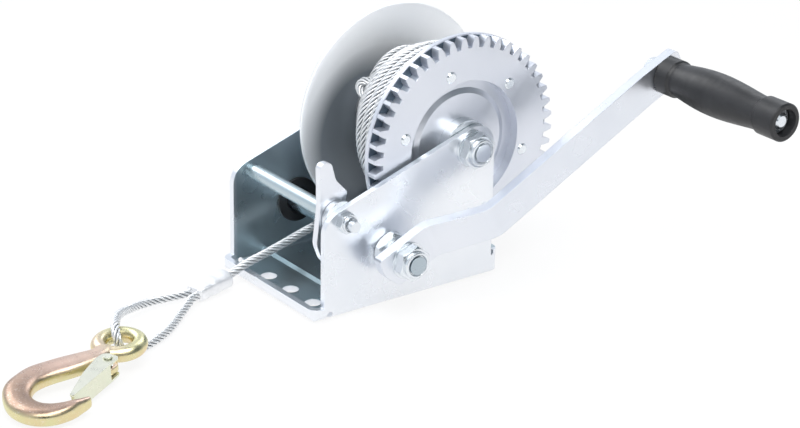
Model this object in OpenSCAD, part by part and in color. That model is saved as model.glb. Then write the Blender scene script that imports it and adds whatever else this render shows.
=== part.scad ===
// Hand winch: folded sheet frame, geared rope drum, cranked pinion, reversible pawl, hook on wire rope
// X runs across the winch towards the crank, Y runs from the rope side to the rear, Z points up
// The origin is on the base's underside, midway between the side plates and level with their front edges

/* [Frame] */
// Width over the two side plates
frame_w = 89.8; // [80:0.2:100]
// Thickness of the frame sheet
sheet_t = 3.5; // [2.5:0.1:4]
// Length of a side plate from front to rear
plate_l = 109.5; // [107:0.5:125]
// Height that the sloping top edge has at the front
front_h = 56.8; // [50:0.2:62]
// Angle of the sloping top edge
top_slope = 18.4; // [15:0.2:20]
// Radius of the side plates' upper corners
plate_corner_r = 12; // [6:0.5:12]
// Outer radius of the bends in the frame sheet
bend_r = 5.5; // [4.2:0.1:7]
// Outer radius of the bend that turns the front lip up
lip_bend_r = 4.5; // [3.8:0.1:4.8]
// Outer radius of the bend that turns the rear lip up
rear_bend_r = 8; // [4.2:0.1:9]
// Height of the front lip
front_lip_h = 7.4; // [6:0.2:9]
// Height of the rear lip
rear_lip_h = 14; // [10:0.5:16]
// Reach of the front lip beyond the side plates
front_lip_reach = 6.7; // [4.5:0.1:7.5]
// Reach of the rear lip beyond the side plates
rear_lip_reach = 6.5; // [3.8:0.1:8]
// Corner radius of the lips seen from above
lip_corner_r = 6.5; // [4:0.5:12]
// Width of the relief slots between the front lip and the side plates
relief_w = 3.4; // [2:0.2:5]
// Height up to which the relief slots are straight
relief_h = 3.4; // [2.4:0.2:5]
// Distance of the relief slots from the side plates' front edges
relief_y = 2.1; // [1:0.1:4]
// Width of the notches between the rear lip and the side plates
notch_w = 1.8; // [1.2:0.1:3]
// Depth of the notches between the rear lip and the side plates
notch_h = 2.4; // [1.6:0.2:6]
// Height of the pressed rib across the base
rib_h = 1.2; // [0.6:0.1:2]
// Distance of the pressed rib from the side plates' front edges
rib_y = 21; // [18:0.5:26]
// Length of the pressed rib from front to rear
rib_l = 30; // [20:1:44]

/* [Mounting holes] */
// Diameter of the mounting holes
mount_d = 9; // [6.6:0.2:10]
// Spacing of the mounting holes in a row
mount_pitch = 21; // [18:0.5:24]
// Distance of the row's middle hole from the middle of the frame
mount_x = 6; // [2:0.5:8]
// Distance of the front row from the side plates' front edges
mount_front_y = 5; // [4.5:0.5:9]
// Distance of the rear row from the side plates' rear edges
mount_rear = 11.5; // [8:0.5:24]

/* [Gears] */
// Gear module
gear_module = 2.5; // [2.4:0.01:2.55]
// Teeth on the drum gear
gear_teeth = 46; // [44:1:46]
// Teeth on the pinion
pinion_teeth = 10; // [9:1:11]
// Profile shift that saves the pinion's flanks from undercut
profile_shift = 0.35; // [0.3:0.01:0.4]
// Backlash between the flanks
backlash = 0.2; // [0.15:0.01:0.4]
// Thickness of the gear ring
gear_t = 6; // [5:0.1:6.2]
// Radius of the opening in the gear ring
gear_open_r = 35.4; // [30:0.2:36]
// Pitch radius of the rivets in the gear ring
rivet_ring_r = 40.6; // [40:0.1:44]
// Diameter of a rivet head
rivet_d = 6.5; // [5:0.1:8]
// Height of a rivet head
rivet_h = 0.9; // [0.5:0.1:1.2]

/* [Drum] */
// Height of the drum axle above the base
axle_z = 77.2; // [76:0.2:79]
// Distance of the drum axle from the side plates' front edges
axle_y = 94; // [92:0.5:96]
// Direction from the drum axle to the pinion shaft
pinion_dir = 221.1; // [220:0.1:222]
// Radius of the flanges
flange_r = 60.6; // [60:0.1:61.5]
// Radius of the flange behind the gear ring
disc_r = 59.4; // [59:0.1:61]
// Thickness of the flanges
flange_t = 2.5; // [2:0.1:2.6]
// Depth of the dish in the left flange
dish_depth = 6; // [3:0.2:7]
// Room between the left side plate and the back of the left flange
left_room = 7.5; // [6:0.1:9]
// Outer radius of the drum tube
drum_r = 21; // [18:0.5:24]
// Wall of the drum tube
drum_wall = 2.5; // [2:0.1:4]
// Clearance beside the gear ring and the drum hubs
side_gap = 2; // [1.8:0.1:2.4]

/* [Rope] */
// Diameter of the wire rope
rope_d = 4.4; // [3.6:0.1:4.4]
// Radius to the middle of the winding's outer layer
wind_r = 45.5; // [40:0.1:46]
// Radius to the middle of the lowest turn on the winding's slope
wind_start_r = 27; // [26:0.5:32]
// Radius to the middle of the turn that leads off the drum
live_r = 36.2; // [34:0.1:36.3]
// Pitch of the winding
wind_pitch = 5.1; // [5.08:0.01:5.4]
// Share of the winding's width that slopes
slope_share = 0.6; // [0.5:0.05:0.7]
// Height that the slope gains at its fullest side, above the drum
bulge_h = 6.5; // [2:0.5:7]
// Room between the left flange's rim and the middle of the lowest turn
wind_room = 10.9; // [10.5:0.1:12]

/* [Axle and shaft] */
// Diameter of the drum axle bolt
axle_d = 10; // [8:0.5:10]
// Outer diameter of the axle sleeve
sleeve_d = 15; // [13:0.5:17]
// Diameter of the pinion shaft
shaft_d = 12; // [11:0.5:13]
// Diameter of the threaded shaft end
stud_d = 10; // [8:0.5:10]
// Diameter of the bush flanges
bush_flange_d = 25; // [20:0.5:28]
// Thickness of the bush flanges
bush_flange_t = 1.5; // [1.2:0.1:1.6]
// Outer diameter of the bush in the plate
bush_d = 17; // [15:0.5:18]

/* [Pawl] */
// Distance of the pawl pivot from the side plates' front edges
pivot_y = 12.5; // [12:0.1:14]
// Height of the pawl pivot
pivot_z = 54; // [53:0.1:55]
// Thickness of the pawl
pawl_t = 4; // [3.6:0.1:4.2]
// Diameter of the tie bolt
tie_d = 6; // [5:0.5:6]
// Outer diameter of the spacer tube
tie_tube_d = 8.5; // [8:0.5:12]
// Diameter of the pawl bush's head
pawl_head_d = 19.6; // [16:0.2:20]
// Diameter of the bearing under the pawl
pawl_bearing_d = 11; // [10:0.5:12]

/* [Crank] */
// Throw of the crank
crank_throw = 179; // [150:1:200]
// Angle of the crank above level
crank_angle = 24.3; // [10:0.1:45]
// Width of the crank bar
crank_w = 18.6; // [16:0.2:22]
// Thickness of the crank bar
crank_t = 6; // [5:0.5:7]
// Outward step of the crank bar
crank_step = 20.5; // [18:0.5:22]
// Distance that the crank bar leans back towards the grip
crank_lean = 7.9; // [2:0.1:9]
// Distance from the shaft where the step starts
step_start = 17; // [16:0.5:18]
// Distance from the shaft where the step ends
step_end = 44; // [40:0.5:48]
// Thickness of the nut behind the crank
jam_nut_t = 6; // [5:0.2:7]
// Height of the spacer rings between that nut and the crank
spacer_h = 3.8; // [3:0.1:5]

/* [Grip] */
// Length of the grip
grip_l = 90; // [80:0.5:110]
// Diameter of the collar next to the crank
grip_collar_d = 20.8; // [19:0.2:24]
// Diameter of the grip's neck
grip_neck_d = 18.2; // [17:0.2:19]
// Diameter of the grip's belly
grip_belly_d = 23.6; // [20:0.2:28]
// Diameter of the recess in the grip's end
grip_recess_d = 14.6; // [14:0.2:16]
// Depth of the recess in the grip's end
grip_recess_depth = 6.4; // [6:0.2:12]
// Diameter of the grip pin
pin_d = 8; // [6:0.5:9]

/* [Hook] */
// Diameter of the hook eye's wire
eye_wire_d = 8.4; // [6:0.2:8.6]
// Radius to the middle of the hook eye's wire
eye_ring_r = 10.2; // [10:0.1:11]
// Thickness of the hook
hook_t = 9; // [7:0.2:9]
// Share of its full width that the hook's bar has
hook_width = 1; // [0.8:0.02:1.04]
// Diameter of the latch pin
latch_pin_d = 3; // [2:0.2:3.4]
// Thickness of the latch sheet
latch_t = 1; // [0.8:0.1:1.2]

/* [Fasteners] */
// Width across flats of the large nuts
big_nut_af = 17; // [15:0.5:17]
// Width across flats of the small nuts
small_nut_af = 10; // [9:0.5:11]
// Width across flats of the nut behind the crank
jam_nut_af = 20; // [18:0.5:21]
// Diameter of the large washers
washer_d = 20; // [18:0.5:21]
// Thickness of the large washers
washer_t = 2; // [1.6:0.1:2.2]

/* [Clearances] */
// Radial clearance of a shaft in its bearing
run_fit = 0.06; // [0.02:0.01:0.1]
// Radial clearance of a bolt in its hole
bolt_fit = 0.2; // [0.1:0.05:0.4]
// Clearance beside moving parts
side_fit = 0.3; // [0.3:0.05:0.5]

/* [Hidden] */
$fn = 64;
over = 1;
plate_out = frame_w / 2;
plate_in = plate_out - sheet_t;
inner_bend_r = bend_r - sheet_t;
base_top = sheet_t;
foot_front = -front_lip_reach;
foot_rear = plate_l + rear_lip_reach;
mount_rear_y = plate_l - mount_rear;

// Gear sizes
pressure_angle = 20;
centre_distance = gear_module * (gear_teeth + pinion_teeth) / 2;
pinion_y = axle_y + centre_distance * cos(pinion_dir);
pinion_z = axle_z + centre_distance * sin(pinion_dir);
gear_x1 = plate_in - side_gap;
gear_x0 = gear_x1 - gear_t;
gear_phase = pinion_dir + 180 / gear_teeth;
pinion_phase = pinion_dir - 180;
rivet_count = 6;
rivet_phase = 44.5;

// Drum sizes
disc_x0 = gear_x0 - flange_t;
dish_x1 = -plate_in + left_room + flange_t;
rim_x1 = dish_x1 + dish_depth;
dish_inner_r = 29;
dish_outer_r = 48;
hub_r = 11;
hub_flange_r = 14;
sleeve_r = sleeve_d / 2;
hub_bore_r = sleeve_r + run_fit;

// Winding sizes
wind_end_gap = 0.6;
wind_x0 = rim_x1 + wind_room;
wind_x1 = disc_x0 - rope_d / 2 - wind_end_gap;
level_x0 = wind_x0 + (wind_x1 - wind_x0) * slope_share;
slope_rise = (wind_r - wind_start_r) / (level_x0 - wind_x0);
slope_step = wind_pitch * cos(atan(slope_rise));
bulge_x0 = level_x0 - bulge_h / slope_rise;
bulge_angle = 105;
slope_turns = (bulge_x0 - wind_x0) / slope_step;
level_turns = (wind_x1 - bulge_x0) / wind_pitch;
live_run = 7;
dive_from = 0.35;
dive_to = 0.55;
core_gap = rope_d / 2 + 0.15;
rings_per_turn = 24;
coil_sides = 6;
wind_start_angle = -78;

// Pawl, tie bolt and crank sizes along X
pawl_head_x0 = plate_in - 3.3;
pawl_x1 = pawl_head_x0 - side_fit;
pawl_x0 = pawl_x1 - pawl_t;
tie_washer_t = 0.8;
tie_washer_r = pawl_bearing_d / 2 + 2;
outer_washer_t = 0.8;
bearing_x0 = pawl_x0 - side_fit;
jam_x0 = plate_out + 0.4;
jam_x1 = jam_x0 + jam_nut_t;
crank_x0 = jam_x1 + spacer_h;
crank_x1 = crank_x0 + crank_t;
crank_far_x0 = crank_x0 + crank_step - crank_lean;
crank_far_x1 = crank_far_x0 + crank_t;
grip_y = pinion_y + crank_throw * cos(crank_angle);
grip_z = pinion_z + crank_throw * sin(crank_angle);
grip_x0 = crank_far_x1 + 0.4;
grip_x1 = grip_x0 + grip_l;
nut_h = 6.2;
nut_collar_h = 2;
thread_out = 0.5;
flat_depth = (shaft_d - stud_d) / 2;

// Hook place on the ground
hook_at = [26.6, -111.4, 10.5];
hook_turn = 25.2;
hook_tilt = 4;
latch_pivot = [8, -21];
latch_pin_r = latch_pin_d / 2;
latch_half = 5;
latch_web_from = [5, -5];
latch_web_to = [6.4, -38.4];
ear_z0 = -3.6;
ear_z1 = 0.2;
spring_wire_d = 0.8;

// Route of the free rope from the drum to the ferrule
lead_route = [
  [-21.5, 105, 37.6], [-21.8, 92, 34.4], [-22, 70, 29.2], [-22, 50, 24.4], [-22, 33, 20.4],
  [-21.8, 20, 16.9], [-21.5, 8, 13.9], [-21.1, -2, 11.8], [-20.8, -8, 10.2], [-20.6, -14, 8.1],
  [-20.4, -19.6, 6.4]
];
// Route of the rope's eye from the ferrule through the hook and back
eye_route = [
  [-18.9, -41.2, 4.5], [-18.4, -44, 4.5], [-18.7, -49, 4.4], [-19.6, -56, 4.3], [-20, -64, 4.4],
  [-18, -72, 5.2], [-13.8, -80, 7], [-7.5, -88, 9.8], [0.5, -95.5, 13.2], [8.5, -102, 16.2],
  [15.5, -106.8, 17.7], [22, -110.8, 18], [26.4, -112.8, 15.4], [27.4, -112.2, 11], [26.3, -109.6, 6.8],
  [24, -105.6, 4.2], [22, -100.8, 2.9], [21.3, -95.6, 2.4], [19.6, -89, 2.4], [16, -81.5, 2.4],
  [11.2, -73.5, 2.4], [4.2, -64.8, 2.4], [-2.5, -57, 2.8], [-7.9, -50.2, 3.6], [-11.5, -45, 4.3],
  [-13.7, -39.6, 4.5]
];
ferrule_from = [-20.6, -18.2, 6.6];
ferrule_to = [-15.9, -41.8, 4.5];
ferrule_w = 12;
ferrule_h = 9;

// Point on a circle in a plane
function polar(r, a) = [r * cos(a), r * sin(a)];
// Vector of length one
function unit(v) = v / norm(v);
// Arc that rounds the corner p between the points before and after it
function rounded_corner(before, p, after, r, steps) =
  let(u = unit(before - p), v = unit(after - p), half = acos(u * v) / 2)
  let(middle = p + unit(u + v) * r / sin(half))
  let(from = p + u * r / tan(half) - middle, to = p + v * r / tan(half) - middle)
  let(a = atan2(from[1], from[0]), b = atan2(to[1], to[0]), turn = (b - a + 540) % 360 - 180)
  [for (i = [0:steps]) middle + polar(r, a + turn * i / steps)];
// Outline whose corners are rounded, each by its own radius
function rounded_outline(pts, radii, steps = 8) =
  let(n = len(pts))
  [for (i = [0:n - 1]) each radii[i] == 0 ? [pts[i]]
    : rounded_corner(pts[(i + n - 1) % n], pts[i], pts[(i + 1) % n], radii[i], steps)];

// Involute function in degrees
function inv(a) = tan(a) * 180 / PI - a;
// Half the angle that a tooth spans at radius r
function tooth_half(teeth, shift, r) =
  let(pitch_r = gear_module * teeth / 2, base_r = pitch_r * cos(pressure_angle))
  let(thick = gear_module * (PI / 2 + 2 * shift * tan(pressure_angle)) - backlash / 2)
  let(at = acos(min(1, base_r / max(r, base_r))))
  thick / (2 * pitch_r) * 180 / PI + inv(pressure_angle) - inv(at);
// Outline of a gear with involute teeth, its first tooth at angle zero
function gear_outline(teeth, shift, steps = 4) =
  let(pitch_r = gear_module * teeth / 2, tip_r = pitch_r + gear_module * (1 + shift))
  let(root_r = pitch_r - gear_module * (1.25 - shift), base_r = max(root_r, pitch_r * cos(pressure_angle)))
  let(radii = concat([root_r], [for (i = [0:steps]) base_r + (tip_r - base_r) * i / steps]))
  [for (t = [0:teeth - 1]) each concat(
    [for (r = radii) polar(r, t * 360 / teeth - tooth_half(teeth, shift, r))],
    [for (i = [len(radii) - 1:-1:0])
      polar(radii[i], t * 360 / teeth + tooth_half(teeth, shift, radii[i]))])];

// Direction of the path at point i
function heading(path, i) = unit(path[min(i + 1, len(path) - 1)] - path[max(i - 1, 0)]);
// Frame across the path that turns as little as it can from ring to ring
function next_side(side, dir) = unit(side - dir * (side * dir));
function sides_along(path, i = 0, side = [0, 0, 1]) =
  let(now = next_side(side, heading(path, i)))
  i == len(path) - 1 ? [now] : concat([now], sides_along(path, i + 1, now));
// Smooth curve through the route's points, with steps points to a stretch
function spline_point(a, b, c, d, t) =
  0.5 * ((2 * b) + (c - a) * t + (2 * a - 5 * b + 4 * c - d) * t * t + (3 * b - a - 3 * c + d) * t * t * t);
function smooth_path(pts, steps) =
  let(n = len(pts))
  concat([for (i = [0:n - 2], k = [0:steps - 1])
    spline_point(pts[max(i - 1, 0)], pts[i], pts[i + 1], pts[min(i + 2, n - 1)], k / steps)], [pts[n - 1]]);

// Solid through rings of points that follow one another, each ring with the same number of points
module solid_through(rings, sides) {
  last = len(rings) - sides;
  walls = [for (i = [0:sides:last - sides], k = [0:sides - 1])
    let(a = i + k, b = i + (k + 1) % sides)
    each [[a, a + sides, b], [b, a + sides, b + sides]]];
  first_cap = [for (k = [1:sides - 2]) [0, k, k + 1]];
  last_cap = [for (k = [1:sides - 2]) [last, last + k + 1, last + k]];
  polyhedron(points = rings, faces = concat(walls, first_cap, last_cap));
}
// Round tube of radius r along a path
module tube_along(path, r, sides) {
  across = sides_along(path);
  solid_through([for (i = [0:len(path) - 1])
    let(u = across[i], v = cross(heading(path, i), u))
    for (k = [0:sides - 1]) path[i] + r * (cos(360 * k / sides) * u + sin(360 * k / sides) * v)], sides);
}

// Outline in the Y and Z plane, made thick from x0 to x1
module plate_x(x0, x1) {
  translate([x0, 0, 0]) rotate([90, 0, 90]) linear_extrude(x1 - x0) children();
}
// Round bar along X
module bar_x(y, z, r, x0, x1) {
  translate([x0, y, z]) rotate([0, 90, 0]) cylinder(r = r, h = x1 - x0);
}
// Round ring along X
module ring_x(y, z, r, bore_r, x0, x1) {
  difference() {
    bar_x(y, z, r, x0, x1);
    bar_x(y, z, bore_r, x0 - over, x1 + over);
  }
}
// Profile of radius and X, turned about an axis along X
module turned_x(y, z, profile) {
  translate([0, y, z]) rotate([0, 90, 0]) rotate_extrude() polygon(profile);
}
// Hexagon with chamfered corners, along X
module hex_x(y, z, af, x0, x1, angle = 0) {
  corner_r = af / 2 / cos(30);
  chamfer = corner_r - af / 2;
  translate([x0, y, z]) rotate([angle, 0, 0]) rotate([0, 90, 0]) intersection() {
    cylinder(r = corner_r, h = x1 - x0, $fn = 6);
    rotate_extrude() polygon([[0, 0], [af / 2, 0], [corner_r, chamfer], [corner_r, x1 - x0 - chamfer],
      [af / 2, x1 - x0], [0, x1 - x0]]);
  }
}
// Self-locking nut along X, its collar towards higher X
module lock_nut_x(y, z, af, bore_r, x0, h, collar_h, angle = 0) {
  difference() {
    union() {
      hex_x(y, z, af, x0, x0 + h, angle);
      bar_x(y, z, af * 0.43, x0 + h - 0.5, x0 + h + collar_h);
    }
    bar_x(y, z, bore_r, x0 - over, x0 + h + collar_h + over);
  }
}

// Outline of a side plate seen from the side
module side_outline() {
  rise = tan(top_slope);
  polygon(rounded_outline(
    [[0, base_top], [0, front_h], [plate_l, front_h + rise * plate_l], [plate_l, base_top]],
    [0, plate_corner_r, plate_corner_r, 0]));
}
// Filled tray, drawn in by a wall: zero gives the outside, the sheet's thickness the inside
module tray_body(wall) {
  r = bend_r - wall;
  front_r = lip_bend_r - wall;
  rear_r = rear_bend_r - wall;
  top = rear_lip_h + over;
  intersection() {
    translate([0, foot_rear, 0]) rotate([90, 0, 0]) linear_extrude(foot_rear - foot_front)
      polygon(rounded_outline([[-plate_out + wall, top], [-plate_out + wall, wall],
        [plate_out - wall, wall], [plate_out - wall, top]], [0, r, r, 0]));
    plate_x(-plate_out, plate_out)
      polygon(rounded_outline([[foot_front + wall, top], [foot_front + wall, wall],
        [foot_rear - wall, wall], [foot_rear - wall, top]], [0, front_r, rear_r, 0]));
    linear_extrude(top)
      polygon(rounded_outline([[-plate_out + wall, foot_front + wall], [plate_out - wall, foot_front + wall],
        [plate_out - wall, foot_rear - wall], [-plate_out + wall, foot_rear - wall]],
        [for (i = [0:3]) lip_corner_r - wall]));
  }
}
// Space above the lips and in front of the side plates
module above_lips() {
  translate([-plate_out - over, foot_front - over, front_lip_h])
    cube([frame_w + 2 * over, plate_l / 2 - foot_front + over, rear_lip_h]);
  translate([-plate_out - over, plate_l / 2 - over, rear_lip_h])
    cube([frame_w + 2 * over, plate_l, rear_lip_h]);
}
// Relief slots with round tops between the front lip and the side plates
module relief_slots() {
  for (s = [-1, 1]) {
    translate([s * plate_out - bend_r, relief_y, -over]) cube([2 * bend_r, relief_w, relief_h + over]);
    bar_x(relief_y + relief_w / 2, relief_h, relief_w / 2, s * plate_out - bend_r, s * plate_out + bend_r);
  }
}
// Notches with round feet between the rear lip and the side plates
module rear_notches() {
  foot_z = rear_lip_h - notch_h + notch_w / 2;
  for (s = [-1, 1]) {
    bar_x(plate_l + notch_w / 2, foot_z, notch_w / 2, s * plate_out - bend_r, s * plate_out + bend_r);
    translate([s * plate_out - bend_r, plate_l, foot_z]) cube([2 * bend_r, notch_w, notch_h]);
  }
}
// Pressed rib across the base, with sloping flanks
module rib_outline(grow) {
  flank = rib_h + 1;
  polygon([[rib_y - grow, 0], [rib_y + flank - grow, rib_h], [rib_y + rib_l - flank + grow, rib_h],
    [rib_y + rib_l + grow, 0]]);
}
// Row of mounting holes
module mount_row(y) {
  for (i = [-1:1]) translate([mount_x + i * mount_pitch, y, -over])
    cylinder(d = mount_d, h = base_top + 2 * over);
}

module frame() {
  color("gainsboro") difference() {
    union() {
      difference() {
        tray_body(0);
        tray_body(sheet_t);
        above_lips();
      }
      for (s = [-1, 1]) translate([s > 0 ? 0 : -plate_out - plate_in, 0, 0]) difference() {
        plate_x(plate_in, plate_out) side_outline();
        translate([plate_in - over, -over, 0]) cube([sheet_t + 2 * over, plate_l + 2 * over, bend_r]);
      }
      plate_x(-plate_in + inner_bend_r, plate_in - inner_bend_r) translate([0, base_top]) rib_outline(0);
    }
    plate_x(-plate_out - over, plate_out + over) translate([0, -0.001]) rib_outline(-0.4);
    relief_slots();
    rear_notches();
    mount_row(mount_front_y);
    mount_row(mount_rear_y);
    bar_x(axle_y, axle_z, axle_d / 2 + bolt_fit, -plate_out - over, plate_out + over);
    bar_x(pinion_y, pinion_z, bush_d / 2 + run_fit, -plate_out - over, plate_out + over);
    bar_x(pivot_y, pivot_z, tie_d / 2 + bolt_fit, -plate_out - over, plate_out + over);
  }
}

module bush(side) {
  color("#202224") mirror([side > 0 ? 0 : 1, 0, 0]) difference() {
    union() {
      bar_x(pinion_y, pinion_z, bush_flange_d / 2, plate_in - bush_flange_t, plate_in);
      bar_x(pinion_y, pinion_z, bush_d / 2, plate_in - bush_flange_t, plate_out);
    }
    bar_x(pinion_y, pinion_z, shaft_d / 2 + run_fit, plate_in - 2 * bush_flange_t, plate_out + over);
    turned_x(pinion_y, pinion_z, [[0, plate_in - bush_flange_t - over],
      [bush_d / 2 - 0.3 + over, plate_in - bush_flange_t - over], [shaft_d / 2, plate_in]]);
  }
}
module left_bush() {
  bush(-1);
}
module right_bush() {
  bush(1);
}

module axle_bolt() {
  head_x1 = -plate_out - washer_t;
  head_h = 6.4;
  stud_end = plate_out + washer_t + nut_h + nut_collar_h + thread_out;
  color("silver") {
    hex_x(axle_y, axle_z, big_nut_af, head_x1 - head_h, head_x1);
    bar_x(axle_y, axle_z, axle_d / 2, head_x1 - over, stud_end);
  }
}
module axle_sleeve() {
  color("silver") ring_x(axle_y, axle_z, sleeve_r, axle_d / 2 + bolt_fit, -plate_in, plate_in);
}
module axle_washers() {
  color("silver") {
    ring_x(axle_y, axle_z, washer_d / 2, axle_d / 2 + bolt_fit, -plate_out - washer_t, -plate_out);
    ring_x(axle_y, axle_z, washer_d / 2, axle_d / 2 + bolt_fit, plate_out, plate_out + washer_t);
  }
}
module axle_nut() {
  color("gainsboro")
    lock_nut_x(axle_y, axle_z, big_nut_af, axle_d / 2, plate_out + washer_t, nut_h, nut_collar_h, 12);
}

module tie_bolt() {
  color("silver") {
    hex_x(pivot_y, pivot_z, small_nut_af, -plate_out - 4.2, -plate_out);
    bar_x(pivot_y, pivot_z, tie_d / 2, -plate_out - over, plate_out + 10);
  }
}
module tie_tube() {
  shoulder_x = -plate_in + 3;
  shoulder_h = 0.7;
  bore_r = tie_d / 2 + bolt_fit;
  color("silver") {
    ring_x(pivot_y, pivot_z, tie_tube_d / 2, bore_r, shoulder_x, bearing_x0 - tie_washer_t);
    ring_x(pivot_y, pivot_z, tie_tube_d / 2 - shoulder_h, bore_r, -plate_in, shoulder_x);
  }
}
module tie_washer() {
  color("silver")
    ring_x(pivot_y, pivot_z, tie_washer_r, tie_d / 2 + bolt_fit, bearing_x0 - tie_washer_t, bearing_x0);
}
module pawl_bush() {
  color("silver") difference() {
    union() {
      bar_x(pivot_y, pivot_z, pawl_bearing_d / 2, bearing_x0, pawl_head_x0 + over);
      bar_x(pivot_y, pivot_z, pawl_head_d / 2, pawl_head_x0, plate_in);
    }
    bar_x(pivot_y, pivot_z, tie_d / 2 + bolt_fit, bearing_x0 - over, plate_in + over);
  }
}
module tie_nut() {
  color("gainsboro") lock_nut_x(pivot_y, pivot_z, small_nut_af, tie_d / 2, plate_out, 4.6, 1.4, 8);
}

// Outline of the pawl about its pivot: thumb tab above, one claw on each side of the pinion
module pawl_outline() {
  polygon(rounded_outline(
    [[-10.8, 31.2], [-3.6, 31.2], [-0.6, 20.5], [6.6, 12.8], [5.2, 7.5], [8.2, 2.5],
      [6.5, -6.5], [0.5, -9.5], [-1.6, -14.5], [1.2, -22.5], [5.8, -28.2], [1.4, -29.6],
      [-8.6, -23.4], [-12.6, -13], [-10.4, 6], [-10.4, 18]],
    [3.4, 3.4, 6, 2, 3, 3, 4, 4, 6, 6, 0.8, 2, 8, 10, 20, 10], 5));
}
module pawl() {
  color("gainsboro") difference() {
    plate_x(pawl_x0, pawl_x1) translate([pivot_y, pivot_z]) pawl_outline();
    bar_x(pivot_y, pivot_z, pawl_bearing_d / 2 + run_fit, pawl_x0 - over, pawl_x1 + over);
  }
}

module drum_tube() {
  color("silver") ring_x(axle_y, axle_z, drum_r, drum_r - drum_wall, dish_x1, disc_x0);
}
module left_flange() {
  color("gainsboro") turned_x(axle_y, axle_z, [
    [hub_r, dish_x1], [dish_inner_r, dish_x1], [dish_outer_r, rim_x1], [flange_r, rim_x1],
    [flange_r, rim_x1 - flange_t], [dish_outer_r + 0.6, rim_x1 - flange_t],
    [dish_inner_r + 0.6, dish_x1 - flange_t], [hub_r, dish_x1 - flange_t]]);
}
module right_flange() {
  bead_r = 27;
  bead_h = 1.2;
  color("gainsboro") turned_x(axle_y, axle_z, [
    [hub_r, disc_x0], [disc_r, disc_x0], [disc_r, gear_x0], [bead_r + 3, gear_x0],
    [bead_r, gear_x0 + bead_h], [hub_r, gear_x0 + bead_h]]);
}
module gear_ring() {
  color("gainsboro") difference() {
    plate_x(gear_x0, gear_x1) translate([axle_y, axle_z]) rotate(gear_phase)
      polygon(gear_outline(gear_teeth, -profile_shift));
    bar_x(axle_y, axle_z, gear_open_r, gear_x0 - over, gear_x1 + over);
  }
}
module gear_rivets() {
  color("silver") for (i = [0:rivet_count - 1]) {
    at = [axle_y, axle_z] + polar(rivet_ring_r, rivet_phase + i * 360 / rivet_count);
    turned_x(at[0], at[1], [[0, gear_x1], [rivet_d / 2, gear_x1], [rivet_d / 2 - rivet_h, gear_x1 + rivet_h],
      [0, gear_x1 + rivet_h]]);
  }
}
module left_hub() {
  color("silver") difference() {
    union() {
      bar_x(axle_y, axle_z, hub_flange_r, -plate_in + side_fit, dish_x1 - flange_t);
      bar_x(axle_y, axle_z, hub_r, dish_x1 - flange_t - over, dish_x1 + 8);
    }
    bar_x(axle_y, axle_z, hub_bore_r, -plate_in - over, dish_x1 + 8 + over);
  }
}
module right_hub() {
  hub_face = gear_x0 + 1.2;
  color("silver") difference() {
    union() {
      bar_x(axle_y, axle_z, hub_flange_r, hub_face, plate_in - side_fit);
      bar_x(axle_y, axle_z, hub_r, disc_x0 - 8, hub_face + over);
    }
    bar_x(axle_y, axle_z, hub_bore_r, disc_x0 - 8 - over, plate_in + over);
  }
}

// Share from zero to one that starts and ends gently
function ease(u) = u * u * (3 - 2 * u);
// Place across the drum of turn t, which is below zero on the turn that leads off the drum
function wind_place(t) =
  t < 0 ? wind_x0 - live_run * (1 - pow(1 + t, 2))
  : t < slope_turns ? wind_x0 + slope_step * t
  : bulge_x0 + wind_pitch * (t - slope_turns);
// Share of the bulge's height at turn t
function bulge_share(t) = pow(0.5 + 0.5 * cos(wind_start_angle + 360 * t - bulge_angle), 2);
// Share of its full rise that the turn leading off the drum has at turn t
function live_share(t) = ease(max(0, min(1, (-t - dive_from) / (dive_to - dive_from))));
// Radius to the middle of the winding at turn t
function wind_radius(t) =
  t < 0 ? wind_start_r + (live_r - wind_start_r) * live_share(t)
  : min(wind_r, wind_start_r + slope_rise * (wind_place(t) - wind_x0) + bulge_h * bulge_share(t));
// Point of the winding at turn t
function wind_point(t) =
  let(p = polar(wind_radius(t), wind_start_angle + 360 * t))
  [wind_place(t), axle_y + p[0], axle_z + p[1]];
// Whole winding, each end straight for one diameter
wind_path =
  let(last_ring = floor((slope_turns + level_turns) * rings_per_turn))
  let(round_part = [for (i = [-rings_per_turn:last_ring]) wind_point(i / rings_per_turn)])
  let(n = len(round_part) - 1)
  let(first = unit(round_part[0] - round_part[1]), last = unit(round_part[n] - round_part[n - 1]))
  concat([round_part[0] + rope_d * first], round_part, [round_part[n] + rope_d * last]);
// Least distance between one turn and the next, less the rope's diameter
wind_gap = min([for (i = [0:len(wind_path) - 1], k = [i + rings_per_turn - 3:i + rings_per_turn + 3])
  if (k < len(wind_path)) norm(wind_path[i] - wind_path[k])]) - rope_d;
echo(least_gap_in_winding = wind_gap);

// Plain core under the winding, clear of the turns on its slope and on its level part
module rope_core() {
  chord_share = cos(180 / rings_per_turn);
  slope = atan2((wind_r - wind_start_r) * chord_share, level_x0 - wind_x0);
  slope_gap = core_gap / cos(slope);
  bend_x = level_x0 + (slope_gap - core_gap) / tan(slope);
  foot_r = wind_start_r * chord_share - slope_gap;
  top_r = wind_r * chord_share - core_gap;
  color("darkgray") turned_x(axle_y, axle_z, [
    [drum_r, dish_x1 + side_fit], [foot_r, dish_x1 + side_fit], [foot_r, wind_x0],
    [top_r, bend_x], [top_r, disc_x0], [drum_r, disc_x0]]);
}
module rope_winding() {
  color("lightgray") tube_along(wind_path, rope_d / 2, coil_sides);
}
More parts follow.
